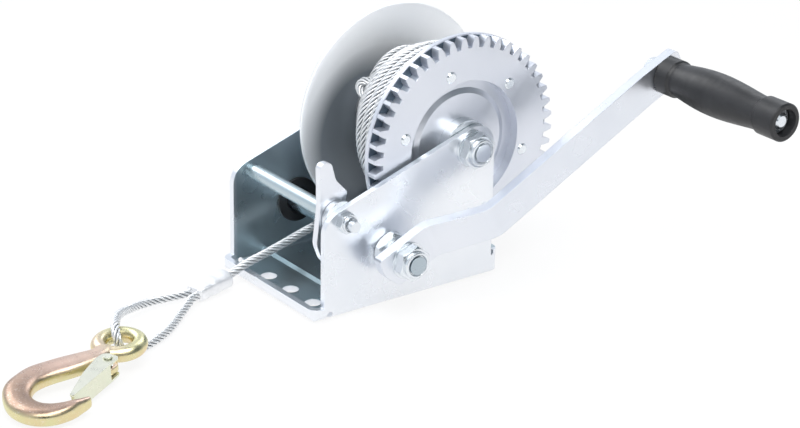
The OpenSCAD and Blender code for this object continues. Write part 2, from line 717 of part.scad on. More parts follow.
// Clamp that holds the rope's dead end on the outside of the left flange
clamp_t = 3.2;
clamp_w = 18;
clamp_h = 9;
clamp_x1 = dish_x1 - flange_t;
clamp_x0 = clamp_x1 - clamp_t;
clamp_z0 = axle_z + 17;
clamp_screw_y = 5;
clamp_screw_z = clamp_z0 + clamp_h / 2;
clamp_screw_r = 1.9;
clamp_screw_af = 7;
clamp_screw_h = 1.7;
module rope_clamp() {
  color("silver") difference() {
    translate([clamp_x0, axle_y - clamp_w / 2, clamp_z0]) cube([clamp_t, clamp_w, clamp_h]);
    for (s = [-1, 1]) bar_x(axle_y + s * clamp_screw_y, clamp_screw_z, clamp_screw_r + bolt_fit,
      clamp_x0 - over, clamp_x1 + over);
  }
}
module clamp_screws() {
  color("silver") for (s = [-1, 1]) {
    hex_x(axle_y + s * clamp_screw_y, clamp_screw_z, clamp_screw_af, clamp_x0 - clamp_screw_h, clamp_x0);
    bar_x(axle_y + s * clamp_screw_y, clamp_screw_z, clamp_screw_r, clamp_x0 - over, clamp_x1);
  }
}

module pinion_shaft() {
  stud_end = crank_x1 + outer_washer_t + nut_h + nut_collar_h + thread_out;
  color("gray") {
    bar_x(pinion_y, pinion_z, shaft_d / 2, -plate_out - 1.5, crank_x0);
    difference() {
      bar_x(pinion_y, pinion_z, shaft_d / 2, crank_x0 - over, crank_x1 - 0.4);
      for (s = [-1, 1]) translate([crank_x0 - 2 * over, pinion_y, pinion_z]) rotate([crank_angle, 0, 0])
        translate([0, -shaft_d, s > 0 ? shaft_d / 2 - flat_depth : flat_depth - 3 * shaft_d / 2])
          cube([crank_t + 4 * over, 2 * shaft_d, shaft_d]);
    }
    bar_x(pinion_y, pinion_z, stud_d / 2, crank_x0, stud_end);
  }
}
module pinion() {
  pinion_x0 = gear_x0 + 0.4;
  pinion_x1 = plate_in - bush_flange_t - side_fit;
  color("gray") difference() {
    plate_x(pinion_x0, pinion_x1) translate([pinion_y, pinion_z]) rotate(pinion_phase)
      polygon(gear_outline(pinion_teeth, profile_shift));
    bar_x(pinion_y, pinion_z, shaft_d / 2, pinion_x0 - over, pinion_x1 + over);
  }
}
module jam_nut() {
  color("silver") difference() {
    hex_x(pinion_y, pinion_z, jam_nut_af, jam_x0, jam_x1, 5);
    bar_x(pinion_y, pinion_z, shaft_d / 2, jam_x0 - over, jam_x1 + over);
  }
}
module inner_washer() {
  flat_t = 1.5;
  color("silver") {
    ring_x(pinion_y, pinion_z, washer_d / 2 - 1, shaft_d / 2, jam_x1, jam_x1 + flat_t);
    ring_x(pinion_y, pinion_z, shaft_d / 2 + 1.6, shaft_d / 2, jam_x1 + flat_t, crank_x0);
  }
}
// Bar of the crank seen along its width: hub, outward step, leaning run, far end
module crank_bend() {
  top = crank_x0 + crank_step;
  slope = atan2(crank_step, step_end - step_start);
  half = crank_t * tan(slope / 2);
  hub_end = -16;
  lean_end = crank_throw - 14;
  far_end = crank_throw + 11.5;
  polygon(rounded_outline(
    [[hub_end, crank_x0], [step_start + half, crank_x0], [step_end + half, top], [lean_end, crank_far_x0],
      [far_end, crank_far_x0], [far_end, crank_far_x1], [lean_end, crank_far_x1],
      [step_end, top + crank_t], [step_start, crank_x1], [hub_end, crank_x1]],
    [0, 14, 8, 30, 0, 0, 30, 14, 8, 0], 6));
}
module crank_arm() {
  hub_w = crank_w + 1.6;
  far_end = crank_throw + 11.5;
  color("gainsboro") translate([0, pinion_y, pinion_z]) rotate([crank_angle, 0, 0]) difference() {
    intersection() {
      translate([0, 0, -hub_w / 2]) linear_extrude(hub_w) mirror([1, -1]) crank_bend();
      plate_x(crank_x0 - over, crank_x1 + crank_step + over) polygon(rounded_outline(
        [[-15, hub_w / 2], [14, hub_w / 2], [32, crank_w / 2], [far_end, crank_w / 2],
          [far_end, -crank_w / 2], [32, -crank_w / 2], [14, -hub_w / 2], [-10, -hub_w / 2], [-15.8, 1]],
        [2, 20, 20, 3, 3, 20, 20, 4, 14], 5));
    }
    intersection() {
      bar_x(0, 0, shaft_d / 2 + run_fit, crank_x0 - over, crank_x1 + over);
      translate([crank_x0 - over, -shaft_d, flat_depth - shaft_d / 2 - run_fit])
        cube([crank_t + 2 * over, 2 * shaft_d, shaft_d - 2 * flat_depth + 2 * run_fit]);
    }
    bar_x(crank_throw, 0, pin_d / 2 + run_fit, crank_far_x0 - over, crank_far_x1 + over);
  }
}
module outer_washer() {
  color("silver") ring_x(pinion_y, pinion_z, washer_d / 2, stud_d / 2, crank_x1, crank_x1 + outer_washer_t);
}
module crank_nut() {
  nut_x0 = crank_x1 + outer_washer_t;
  color("gainsboro")
    lock_nut_x(pinion_y, pinion_z, big_nut_af, stud_d / 2, nut_x0, nut_h, nut_collar_h, 20);
}

module grip_pin() {
  head_x0 = grip_x1 - grip_recess_depth + 1.3;
  color("silver") {
    bar_x(grip_y, grip_z, pin_d / 2, crank_far_x0 - 7.2, head_x0 + 0.2);
    turned_x(grip_y, grip_z, [[0, head_x0], [pin_d / 2 + 0.6, head_x0], [pin_d / 2 + 0.6, head_x0 + 1.2],
      [pin_d / 2 - 1, head_x0 + 2.6], [0, head_x0 + 2.6]]);
  }
}
module grip_pin_nut() {
  color("gainsboro") difference() {
    hex_x(grip_y, grip_z, 13, crank_far_x0 - 6.2, crank_far_x0, crank_angle + 4);
    bar_x(grip_y, grip_z, pin_d / 2, crank_far_x0 - 7.2, crank_far_x0 + over);
  }
}
module grip_washer() {
  x1 = grip_x1 - grip_recess_depth + 1.3;
  color("#202224") ring_x(grip_y, grip_z, grip_recess_d / 2 - 0.5, pin_d / 2, x1 - 1, x1);
}
module grip() {
  collar_l = 10;
  end_l = 15;
  edge = 0.8;
  belly = [for (i = [0:14]) let(t = i / 14)
    [grip_neck_d / 2 + (grip_belly_d - grip_neck_d) / 2 * pow(sin(180 * pow(t, 0.86)), 1.25),
      grip_x0 + collar_l + 1 + t * (grip_l - collar_l - end_l - 2)]];
  color("#26272a") difference() {
    turned_x(grip_y, grip_z, concat(
      [[0, grip_x0], [grip_collar_d / 2 - edge, grip_x0], [grip_collar_d / 2, grip_x0 + edge],
        [grip_collar_d / 2, grip_x0 + collar_l - edge], [grip_collar_d / 2 - edge, grip_x0 + collar_l]],
      belly,
      [[grip_collar_d / 2 - edge, grip_x1 - end_l], [grip_collar_d / 2, grip_x1 - end_l + edge],
        [grip_collar_d / 2, grip_x1 - edge], [grip_collar_d / 2 - edge, grip_x1], [0, grip_x1]]));
    bar_x(grip_y, grip_z, grip_recess_d / 2, grip_x1 - grip_recess_depth, grip_x1 + over);
    bar_x(grip_y, grip_z, pin_d / 2 + run_fit, grip_x0 - over, grip_x1);
  }
}

module rope_lead() {
  color("lightgray") tube_along(smooth_path(lead_route, 2), rope_d / 2, 8);
}
module rope_eye() {
  color("lightgray") tube_along(smooth_path(eye_route, 2), rope_d / 2, 8);
}
module ferrule() {
  run = ferrule_to - ferrule_from;
  lane = 3;
  dip = -asin(run[2] / norm(run));
  color("whitesmoke") translate(ferrule_from) rotate([0, dip, atan2(run[1], run[0])]) rotate([90, 0, 90])
    linear_extrude(norm(run))
      polygon(rounded_outline([[-ferrule_w / 2, -ferrule_h / 2], [ferrule_w / 2, -ferrule_h / 2],
        [ferrule_w / 2, ferrule_h / 2], [-ferrule_w / 2, ferrule_h / 2]], [lane, lane, lane, lane], 5));
}

// Middle line of the hook from the eye round the bowl to the tip, with the width at each point
function hook_line() = [
  [[-1, -9], 11], [[-1.4, -16], 11], [[-5.5, -24], 13.5], [[-10, -31.5], 15], [[-13.8, -38], 15],
  [[-17.2, -45], 15.5], [[-18.4, -52], 14.5], [[-17.4, -60], 15], [[-12.5, -67.8], 14], [[-5.6, -73], 14.2],
  [[2.6, -74.5], 14], [[9.8, -71.8], 12.5], [[14.8, -66], 9], [[17.5, -59.8], 5.4], [[18.9, -55.5], 4],
  [[19.5, -52.8], 2.8]];
// Body of the hook as a loft of rounded sections across its middle line
module hook_body() {
  line = hook_line();
  n = len(line);
  sides = 12;
  rings = [for (i = [0:n - 1])
    let(dir = unit(line[min(i + 1, n - 1)][0] - line[max(i - 1, 0)][0]), across = [-dir[1], dir[0]])
    let(w = line[i][1] / 2 * hook_width, h = min(hook_t / 2, w * 1.1 + 1.2))
    for (k = [0:sides - 1])
      let(c = cos(360 * (k + 0.5) / sides), s = sin(360 * (k + 0.5) / sides))
      let(u = sign(c) * pow(abs(c), 0.7) * w, z = sign(s) * pow(abs(s), 0.7) * h)
      [line[i][0][0] + across[0] * u, line[i][0][1] + across[1] * u, z]];
  solid_through(rings, sides);
}
// Puts the hook and what is on it where they lie on the ground
module as_laid() {
  translate(hook_at) rotate([0, 0, hook_turn]) rotate([hook_tilt, 0, 0]) children();
}
module hook() {
  color("#c9b27a") as_laid() difference() {
    union() {
      rotate_extrude() translate([eye_ring_r, 0]) circle(d = eye_wire_d, $fn = 32);
      hook_body();
      translate([latch_pivot[0], latch_pivot[1], ear_z0]) linear_extrude(ear_z1 - ear_z0)
        polygon(rounded_outline(
          [[-11, 5], [-3, 8.5], [3.4, 3.4], [3.4, -2.2], [0, -3.3], [-6, -3.5], [-13, -6]],
          [0, 2, 2.5, 2.5, 2.5, 4, 0]));
    }
    translate([latch_pivot[0], latch_pivot[1], -hook_t]) cylinder(r = latch_pin_r + run_fit, h = 2 * hook_t);
  }
}
module latch_pin() {
  head_h = 0.8;
  half = latch_half + side_fit;
  color("#b9b4a0") as_laid() translate([latch_pivot[0], latch_pivot[1], 0]) {
    translate([0, 0, -half - head_h / 2]) cylinder(r = latch_pin_r, h = 2 * half + head_h);
    for (s = [-1, 1]) translate([0, 0, s * (half + head_h / 2) - head_h / 2])
      cylinder(r = latch_pin_r + 0.9, h = head_h);
  }
}
// Sprung coil round the latch pin, above the hook's ear
module latch_spring() {
  curls = 3;
  rings = 8;
  pitch = 0.98;
  z0 = ear_z1 + spring_wire_d / 2 + 0.05;
  path = [for (i = [0:curls * rings]) let(p = polar(latch_pin_r + spring_wire_d / 2 + 0.15, 360 * i / rings))
    [latch_pivot[0] + p[0], latch_pivot[1] + p[1], z0 + pitch * i / rings]];
  color("silver") as_laid() tube_along(path, spring_wire_d / 2, 6);
}
// Folded latch: two tapering cheeks and the web that closes the throat
module latch() {
  color("#b8c08a") as_laid() translate([latch_pivot[0], latch_pivot[1], 0]) difference() {
    union() {
      for (s = [0, 1]) mirror([0, 0, s]) translate([0, 0, latch_half - latch_t]) linear_extrude(latch_t)
        polygon(rounded_outline(
          [[-4.6, 3.6], [4.4, 3.6], latch_web_from, latch_web_to, [4.2, -38], [-2.4, -17.5], [-5.2, -3]],
          [3, 2, 0, 0.8, 1, 8, 5]));
      translate([0, 0, -latch_half + 0.5]) linear_extrude(2 * latch_half - 1) polygon([
        latch_web_from, latch_web_to, latch_web_to - [latch_t, 0], latch_web_from - [latch_t, 0]]);
    }
    translate([0, 0, -hook_t]) cylinder(r = latch_pin_r + run_fit, h = 2 * hook_t);
  }
}

frame();
left_bush();
right_bush();
axle_bolt();
axle_sleeve();
axle_washers();
axle_nut();
tie_bolt();
tie_tube();
tie_washer();
pawl_bush();
tie_nut();
pawl();
drum_tube();
left_flange();
right_flange();
gear_ring();
gear_rivets();
left_hub();
right_hub();
rope_core();
rope_winding();
rope_clamp();
clamp_screws();
pinion_shaft();
pinion();
jam_nut();
inner_washer();
crank_arm();
outer_washer();
crank_nut();
grip_pin();
grip_pin_nut();
grip_washer();
grip();
rope_lead();
ferrule();
rope_eye();
hook();
latch_pin();
latch_spring();
latch();
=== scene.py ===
import math

import bpy
from mathutils import Matrix, Vector


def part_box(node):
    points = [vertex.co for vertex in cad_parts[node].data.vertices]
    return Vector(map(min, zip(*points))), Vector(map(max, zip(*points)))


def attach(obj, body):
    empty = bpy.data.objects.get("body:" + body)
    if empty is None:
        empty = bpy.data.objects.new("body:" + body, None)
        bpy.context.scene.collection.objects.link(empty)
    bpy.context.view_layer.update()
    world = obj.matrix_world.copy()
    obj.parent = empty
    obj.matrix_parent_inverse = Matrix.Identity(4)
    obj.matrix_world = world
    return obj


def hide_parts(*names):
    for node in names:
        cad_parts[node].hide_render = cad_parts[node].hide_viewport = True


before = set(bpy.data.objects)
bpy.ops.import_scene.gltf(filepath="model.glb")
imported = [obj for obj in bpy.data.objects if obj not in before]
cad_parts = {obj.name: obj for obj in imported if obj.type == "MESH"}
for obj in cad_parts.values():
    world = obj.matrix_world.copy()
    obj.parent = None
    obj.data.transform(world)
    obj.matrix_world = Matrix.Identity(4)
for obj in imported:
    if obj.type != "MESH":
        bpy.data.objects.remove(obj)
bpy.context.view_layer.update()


def middle(node):
    """Middle of a CAD node's box."""
    low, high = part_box(node)
    return (low + high) / 2


MM = 0.001
# The drum's axle, where it crosses the middle of the winch
AXLE = middle("drum_tube") * Vector((0, 1, 1))

# Wire rope: its size, its size over the laid strands, and how its strands lie
ROPE_D = 0.0044
LAID_D = 0.0047
LAY = 0.0195
STRANDS = 6
VALLEY_SHARE = 0.58

# Self-locking nuts: width across flats, height and collar
LARGE_NUT = (0.017, 0.0062, 0.002)
SMALL_NUT = (0.01, 0.0046, 0.0014)
LARGE_STUD_R = 0.005
SMALL_STUD_R = 0.003

# Room between the side plates, where shade is painted: half its width, its floor and its front, a hair past
# the sheet's faces
SHEET = 0.0035
CHANNEL_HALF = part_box("frame")[1].x - SHEET + 0.0001
CHANNEL_FLOOR = SHEET - 0.0002
CHANNEL_FRONT = 0.0005

# The rope on the drum, as the CAD source has it
LEFT_RIM_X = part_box("left_flange")[1].x
RIGHT_DISC_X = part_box("right_flange")[0].x
WIND_R = 0.0455
WIND_START_R = 0.027
LIVE_R = 0.0362
WIND_PITCH = 0.0051
SLOPE_SHARE = 0.6
WIND_START_X = LEFT_RIM_X + 0.0109
WIND_END_X = RIGHT_DISC_X - ROPE_D / 2 - 0.0006
LEVEL_X = WIND_START_X + (WIND_END_X - WIND_START_X) * SLOPE_SHARE
SLOPE_RISE = (WIND_R - WIND_START_R) / (LEVEL_X - WIND_START_X)
SLOPE_STEP = WIND_PITCH * math.cos(math.atan(SLOPE_RISE))
BULGE_H = 0.0065
BULGE_X = LEVEL_X - BULGE_H / SLOPE_RISE
BULGE_ANGLE = 105
SLOPE_TURNS = (BULGE_X - WIND_START_X) / SLOPE_STEP
LEVEL_TURNS = (WIND_END_X - BULGE_X) / WIND_PITCH
LIVE_RUN = 0.007
DIVE_FROM = 0.35
DIVE_TO = 0.55
WIND_START_ANGLE = -78
# The layer that shows between the turns lies this much deeper and farther right
UNDER_DEPTH = 0.0038
UNDER_SHIFT = 0.0025
# Plain core under both layers, a hair inside its solid
CORE_DEPTH = 0.0058
CORE_LEFT_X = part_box("rope_core")[0].x + 0.0001
CORE_RIGHT_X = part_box("rope_core")[1].x - 0.0001
DRUM_R = AXLE.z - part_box("drum_tube")[0].z + 0.00005
# Middle line of the loose loop that crosses over the turns: X, radius and angle about the axle
LOOSE_LOOP = [
    (0.0, 0.0375, 134), (-0.005, 0.0385, 135), (-0.0088, 0.0395, 136.5), (-0.0114, 0.0402, 139),
    (-0.0122, 0.0404, 142), (-0.0112, 0.04, 145), (-0.0085, 0.0388, 147.5), (-0.0048, 0.0375, 149),
    (0.0, 0.036, 150)]

# Middle line of the rope between the drum and the ferrule
LEAD_ROUTE = [
    (-0.0215, 0.105, 0.0376), (-0.0218, 0.092, 0.0344), (-0.022, 0.07, 0.0292), (-0.022, 0.05, 0.0244),
    (-0.022, 0.033, 0.0204), (-0.0218, 0.02, 0.0169), (-0.0215, 0.008, 0.0139), (-0.0211, -0.002, 0.0118),
    (-0.0208, -0.008, 0.0102), (-0.0206, -0.014, 0.0081), (-0.0204, -0.0196, 0.0064)]
# Middle line of the loop from the ferrule through the hook's eye and back
EYE_ROUTE = [
    (-0.0189, -0.0412, 0.0045), (-0.0184, -0.044, 0.0045), (-0.0187, -0.049, 0.0044),
    (-0.0196, -0.056, 0.0043), (-0.02, -0.064, 0.0044), (-0.018, -0.072, 0.0052), (-0.0138, -0.08, 0.007),
    (-0.0075, -0.088, 0.0098), (0.0005, -0.0955, 0.0132), (0.0085, -0.102, 0.0162),
    (0.0155, -0.1068, 0.0177), (0.022, -0.1108, 0.018), (0.0264, -0.1128, 0.0154), (0.0274, -0.1122, 0.011),
    (0.0263, -0.1096, 0.0068), (0.024, -0.1056, 0.0042), (0.022, -0.1008, 0.0029), (0.0213, -0.0956, 0.0024),
    (0.0196, -0.089, 0.0024), (0.016, -0.0815, 0.0024), (0.0112, -0.0735, 0.0024), (0.0042, -0.0648, 0.0024),
    (-0.0025, -0.057, 0.0028), (-0.0079, -0.0502, 0.0036), (-0.0115, -0.045, 0.0043),
    (-0.0137, -0.0396, 0.0045)]
FERRULE_FROM = Vector((-0.0206, -0.0182, 0.0066))
FERRULE_TO = Vector((-0.0159, -0.0418, 0.0045))
FERRULE_HALF_WIDTH = 0.006
FERRULE_HALF_HEIGHT = 0.0045

# Left flange: its flat middle, its slope and its rim
DISH_THICK = 0.0025
DISH_FLAT_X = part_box("left_flange")[0].x + DISH_THICK
DISH_BORE_R = 0.011
DISH_SLOPE_R = 0.026
DISH_SLOPE_RUN = 0.0288
DISH_R = AXLE.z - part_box("left_flange")[0].z

# Painted shade in the gear's tooth gaps and painted shadow of the rope pack on the dish: its depth, then the
# radii where it starts, is full, starts to fade and ends
TOOTH_GAP_SHADE = (1.0, 0.0515, 0.052, 0.0585, 0.0589)
DISH_ROPE_SHADOW = (0.85, -0.02, -0.01, 0.037, 0.053)
# Middle of the rope's painted shadow on the dish, lower and nearer the front than the axle
DISH_ROPE_SHADOW_CENTRE = AXLE - Vector((0, 0.010, 0.014))
# Colour of the painted shade and painted shadow
PAINTED_SHADE_TONE = (0.09, 0.12, 0.15)
# Painted shade between the side plates
CHANNEL_SHADE_TONE = (0.52, 0.61, 0.65)
# Painted shade on the dish's faces that look left
DISH_BACK_SHADE_TONE = (0.60, 0.63, 0.68)

# Camera: place, then yaw, pitch and roll in degrees
CAMERA_PLACE = (0.99577, -0.65946, 0.54014)
CAMERA_ANGLES = (53.36, -22.47, 0.95)
CAMERA_LENS = 110.59
CAMERA_SENSOR = 36

# Studio: each lamp's name, place, side and power
LAMPS = [
    ("key", (0.7, -0.8, 1.5), 1.2, 13),
    ("right", (1.4, -0.15, 1.2), 1.4, 5),
    ("top", (0.34, -0.04, 0.70), 0.45, 2.3),
    ("side", (-1.3, -0.2, 1.1), 1.0, 7),
    ("far", (-0.6, 1.3, 1.3), 1.0, 5)]
LAMP_AIM = Vector((0.03, 0.05, 0.05))
FLOOR_Z = -0.0003
FLOOR_REACH = 6
FLOOR_GLOW = 0.86
# Painted shadow on the floor behind the winch, which only reflections show
FLOOR_SHADOW_PLACE = (-0.14, 0.23, 0)
FLOOR_SHADOW_R = 0.14
FLOOR_SHADOW_FADE_R = 0.19
FLOOR_SHADOW_TONE = (0.03, 0.045, 0.05)
# Surroundings in reflections: dark ahead of this direction, bright behind it
SKY_DARK_AHEAD = Vector((0.85, 0.1, 0.5))
SKY_BRIGHT = (0.78, 0.83, 0.90, 1)
SKY_DARK = (0.06, 0.09, 0.11, 1)


# Lines and sweeps
def smooth_line(points, steps):
    """Catmull-Rom curve through the points."""
    points = [Vector(p) for p in points]
    last = len(points) - 1
    line = []
    for i in range(last):
        a, b, c, d = points[max(i - 1, 0)], points[i], points[i + 1], points[min(i + 2, last)]
        for k in range(steps):
            t = k / steps
            line.append(0.5 * (2 * b + (c - a) * t + (2 * a - 5 * b + 4 * c - d) * t ** 2
                               + (3 * b - a - 3 * c + d) * t ** 3))
    return line + [points[last]]


def even_line(points, step):
    """The same line with its points a steady distance apart."""
    total = sum((b - a).length for a, b in zip(points, points[1:]))
    count = max(2, round(total / step))
    gap = total / count
    line = [points[0].copy()]
    run = 0.0
    want = gap
    for a, b in zip(points, points[1:]):
        length = (b - a).length
        while want <= run + length and len(line) < count:
            line.append(a.lerp(b, (want - run) / length))
            want += gap
        run += length
    return line + [points[-1].copy()]


def sides_along(line):
    """A direction across the line at each point, turning as little as it can."""
    side = Vector((0, 0, 1))
    frames = []
    for i, point in enumerate(line):
        ahead = (line[min(i + 1, len(line) - 1)] - line[max(i - 1, 0)]).normalized()
        side = (side - ahead * side.dot(ahead)).normalized()
        frames.append((point, side.copy(), ahead.cross(side)))
    return frames


def skin(name, rings, closed=False, caps=True, smooth=True):
    """Mesh object over rings of equal length, with UVs that run along and round it."""
    sides = len(rings[0])
    count = len(rings)
    verts = [v for ring in rings for v in ring]
    faces = []
    uvs = []
    spans = count if closed else count - 1
    for i in range(spans):
        n = (i + 1) % count
        for k in range(sides):
            m = (k + 1) % sides
            faces.append((i * sides + k, i * sides + m, n * sides + m, n * sides + k))
            uvs += [(i, k), (i, k + 1), (i + 1, k + 1), (i + 1, k)]
    if caps and not closed:
        faces.append(tuple(reversed(range(sides))))
        faces.append(tuple(range((count - 1) * sides, count * sides)))
        uvs += [(0, k) for k in range(sides)] + [(count - 1, k) for k in range(sides)]
    mesh = bpy.data.meshes.new(name)
    mesh.from_pydata([tuple(v) for v in verts], [], faces)
    layer = mesh.uv_layers.new(name="run")
    for i, (u, v) in enumerate(uvs):
        layer.data[i].uv = (u / count, v / sides)
    mesh.validate()
    mesh.polygons.foreach_set("use_smooth", [smooth] * len(mesh.polygons))
    obj = bpy.data.objects.new(name, mesh)
    bpy.context.scene.collection.objects.link(obj)
    return obj


def strand_profile(radius, strands, per_strand):
    """Angles and radii round a rope of laid strands, one valley between each pair."""
    middle = radius * 2 / 3
    small = radius / 3
    profile = []
    for s in range(strands):
        for k in range(per_strand):
            off = (k / per_strand - 0.5) * 2 * math.pi / strands
            reach = middle * math.cos(off) + math.sqrt(max(0.0, small ** 2 - (middle * math.sin(off)) ** 2))
            profile.append(((s + 0.5) * 2 * math.pi / strands + off, max(reach, radius * VALLEY_SHARE)))
    return profile


def rope(name, line, step, per_strand=6):
    """Laid wire rope swept along a line, its strands turning once for each lay length."""
    line = even_line(line, step)
    profile = strand_profile(LAID_D / 2, STRANDS, per_strand)
    rings = []
    run = 0.0
    before = line[0]
    for point, side, over in sides_along(line):
        run += (point - before).length
        before = point
        twist = 2 * math.pi * run / LAY
        rings.append([point + r * (math.cos(a + twist) * side + math.sin(a + twist) * over)
                      for a, r in profile])
    obj = skin(name, rings)
    mark_valleys(obj, len(rings), len(profile), per_strand)
    return obj


def mark_valleys(obj, count, sides, per_strand):
    """Creases between the strands stay sharp."""
    mesh = obj.data
    sharp = mesh.attributes.new("sharp_edge", "BOOLEAN", "EDGE")
    for edge in mesh.edges:
        a, b = sorted(edge.vertices)
        valley = b - a == sides and a % per_strand == 0
        cap = a // sides == b // sides and a // sides in (0, count - 1)
        sharp.data[edge.index].value = valley or cap


def join(name, *objs):
    """One mesh object out of several."""
    target = objs[0]
    with bpy.context.temp_override(active_object=target, selected_editable_objects=list(objs)):
        bpy.ops.object.join()
    target.name = name
    target.data.name = name
    return target


# Materials
class Shade:
    """A node material under construction."""

    def __init__(self, name):
        self.mat = bpy.data.materials.new(name)
        self.mat.use_nodes = True
        self.nodes = self.mat.node_tree.nodes
        self.links = self.mat.node_tree.links
        self.bsdf = self.nodes["Principled BSDF"]
        self.coords = self.nodes.new("ShaderNodeTexCoord")

    def link(self, out, socket):
        self.links.new(out, socket)

    def stretched(self, scale):
        """Object coordinates scaled by a different amount each way."""
        node = self.nodes.new("ShaderNodeMapping")
        node.inputs["Scale"].default_value = scale
        self.link(self.coords.outputs["Object"], node.inputs["Vector"])
        return node.outputs["Vector"]

    def noise(self, scale, detail, rough=0.55, vector=None):
        """Cloudy noise, its scale in features to the metre."""
        node = self.nodes.new("ShaderNodeTexNoise")
        node.inputs["Scale"].default_value = scale
        node.inputs["Detail"].default_value = detail
        node.inputs["Roughness"].default_value = rough
        self.link(vector or self.coords.outputs["Object"], node.inputs["Vector"])
        return node.outputs["Fac"]

    def ramp(self, value, stops):
        """Colour for a value, given as places and colours."""
        node = self.nodes.new("ShaderNodeValToRGB")
        ramp = node.color_ramp
        while len(ramp.elements) < len(stops):
            ramp.elements.new(0.5)
        for element, (place, colour) in zip(ramp.elements, stops):
            element.position = place
            element.color = (*colour, 1)
        self.link(value, node.inputs["Fac"])
        return node.outputs["Color"]

    def span(self, value, low, high, start=0.3, end=0.7):
        """Value between low and high while the input goes from start to end."""
        node = self.nodes.new("ShaderNodeMapRange")
        node.inputs["From Min"].default_value = start
        node.inputs["From Max"].default_value = end
        node.inputs["To Min"].default_value = low
        node.inputs["To Max"].default_value = high
        self.link(value, node.inputs["Value"])
        return node.outputs["Result"]

    def mix(self, a, b, fac):
        """Colour between two by a share."""
        node = self.nodes.new("ShaderNodeMix")
        node.data_type = "RGBA"
        for value, socket in ((fac, node.inputs[0]), (a, node.inputs[6]), (b, node.inputs[7])):
            if isinstance(value, (int, float)):
                socket.default_value = value
            elif isinstance(value, tuple):
                socket.default_value = (*value, 1)
            else:
                self.link(value, socket)
        return node.outputs[2]

    def reach_from(self, centre):
        """Distance from a line across the winch through a point."""
        value = self.coords.outputs["Object"]
        for operation, vector in (("SUBTRACT", centre), ("MULTIPLY", (0, 1, 1)), ("LENGTH", None)):
            node = self.nodes.new("ShaderNodeVectorMath")
            node.operation = operation
            if vector is not None:
                node.inputs[1].default_value = vector
            self.link(value, node.inputs[0])
            value = node.outputs["Value" if operation == "LENGTH" else "Vector"]
        return value

    def in_channel(self):
        """One on the faces between the side plates, nought outside them: where shade is painted."""
        blur = 0.0002
        place = self.nodes.new("ShaderNodeSeparateXYZ")
        self.link(self.coords.outputs["Object"], place.inputs[0])
        across = self.nodes.new("ShaderNodeMath")
        across.operation = "ABSOLUTE"
        self.link(place.outputs[0], across.inputs[0])
        between = self.span(across.outputs[0], 1.0, 0.0, CHANNEL_HALF, CHANNEL_HALF + blur)
        above = self.span(place.outputs[2], 0.0, 1.0, CHANNEL_FLOOR, CHANNEL_FLOOR + blur / 2)
        behind = self.span(place.outputs[1], 0.0, 1.0, CHANNEL_FRONT, CHANNEL_FRONT + 10 * blur)
        return self.times(self.times(between, above), behind)

    def times(self, a, b):
        """Product of two values."""
        node = self.nodes.new("ShaderNodeMath")
        node.operation = "MULTIPLY"
        self.link(a, node.inputs[0])
        self.link(b, node.inputs[1])
        return node.outputs[0]

    def strand_edge(self):
        """One at the valleys between a rope's strands, falling to nought along the middle of each."""
        place = self.nodes.new("ShaderNodeSeparateXYZ")
        self.link(self.coords.outputs["UV"], place.inputs[0])
        value = place.outputs[1]
        for operation, second in (("MULTIPLY", STRANDS), ("FRACT", None), ("SUBTRACT", 0.5),
                                  ("ABSOLUTE", None), ("MULTIPLY", 2)):
            node = self.nodes.new("ShaderNodeMath")
            node.operation = operation
            if second is not None:
                node.inputs[1].default_value = second
            self.link(value, node.inputs[0])
            value = node.outputs[0]
        return value

    def normal_part(self, axis):
        """One part of the surface's direction."""
        node = self.nodes.new("ShaderNodeSeparateXYZ")
        self.link(self.coords.outputs["Normal"], node.inputs[0])
        return node.outputs[axis]

    def bump(self, *heights, edge=0.0):
        """Bumps given as (height, strength, depth in metres), over an optional rounded edge."""
        normal = None
        if edge:
            node = self.nodes.new("ShaderNodeBevel")
            node.samples = 4
            node.inputs["Radius"].default_value = edge
            normal = node.outputs["Normal"]
        for height, strength, depth in heights:
            node = self.nodes.new("ShaderNodeBump")
            node.inputs["Strength"].default_value = strength
            node.inputs["Distance"].default_value = depth
            self.link(height, node.inputs["Height"])
            if normal is not None:
                self.link(normal, node.inputs["Normal"])
            normal = node.outputs["Normal"]
        self.link(normal, self.bsdf.inputs["Normal"])

    def finish(self, colour, rough, metallic=0.0):
        """Sets the surface's colour, roughness and metal, and gives the material."""
        self.link(colour, self.bsdf.inputs["Base Color"])
        if isinstance(rough, float):
            self.bsdf.inputs["Roughness"].default_value = rough
        else:
            self.link(rough, self.bsdf.inputs["Roughness"])
        self.bsdf.inputs["Metallic"].default_value = metallic
        return self.mat


